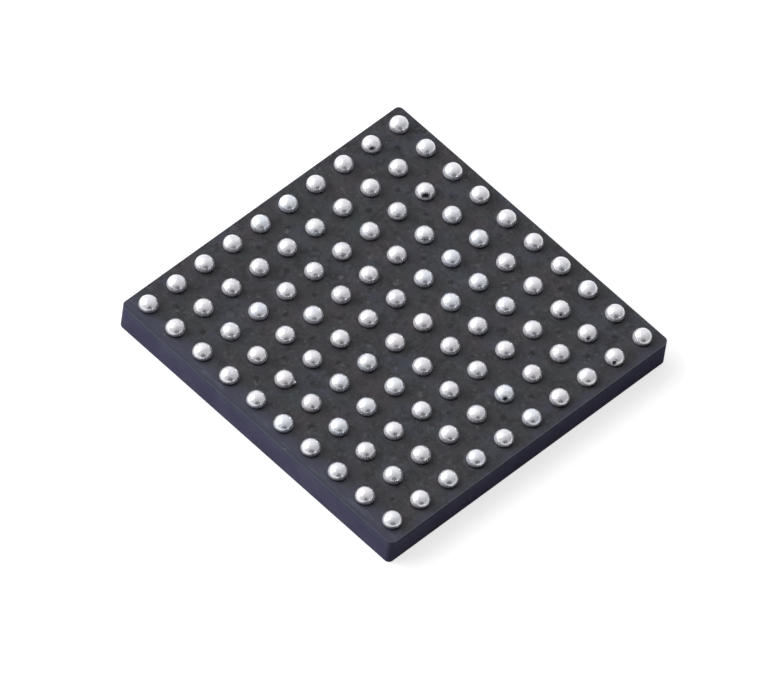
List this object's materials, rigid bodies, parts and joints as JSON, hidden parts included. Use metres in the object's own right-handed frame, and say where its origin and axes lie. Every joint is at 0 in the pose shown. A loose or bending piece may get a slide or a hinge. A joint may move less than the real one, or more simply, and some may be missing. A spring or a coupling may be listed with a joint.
{
  "type": "ball grid array chip package",
  "caption": "Square black laminate chip package lying on its mould face, with a full grid of solder balls, plated vias, a wire-bonded die and a moulded cap.",
  "frame": {"origin": "centre of the flat mould face that the package lies on", "axes": "+Z out of the ball side, X and Y along the package sides, the first ball at -X +Y"},
  "size_m": [0.008, 0.008, 0.001],
  "materials": {
    "mould_compound": "matte, finely filled epoxy",
    "laminate": "sawn black laminate",
    "solder_mask": "satin black solder mask",
    "copper": "copper foil, density is copper's in the stated mass",
    "plug_resin": "cured resin",
    "silicon": "ground silicon",
    "film": "adhesive film",
    "gold_wire": "bright gold",
    "solder": "satin tin-silver solder"
  },
  "bodies": {
    "root": {"ball_row_a": "solder", "ball_row_b": "solder", "ball_row_c": "solder", "ball_row_d": "solder", "ball_row_e": "solder", "ball_row_f": "solder", "ball_row_g": "solder", "ball_row_h": "solder", "ball_row_j": "solder", "ball_row_k": "solder", "ball_side_copper": "copper", "ball_side_solder_mask": "solder_mask", "bond_wires_east": "gold_wire", "bond_wires_north": "gold_wire", "bond_wires_south": "gold_wire", "bond_wires_west": "gold_wire", "die": "silicon", "die_attach_film": "film", "die_side_copper": "copper", "die_side_solder_mask": "solder_mask", "mould_cap": "mould_compound", "substrate_core": "laminate", "via_barrels": "copper", "via_plugs": "plug_resin"}
  },
  "joints": []
}
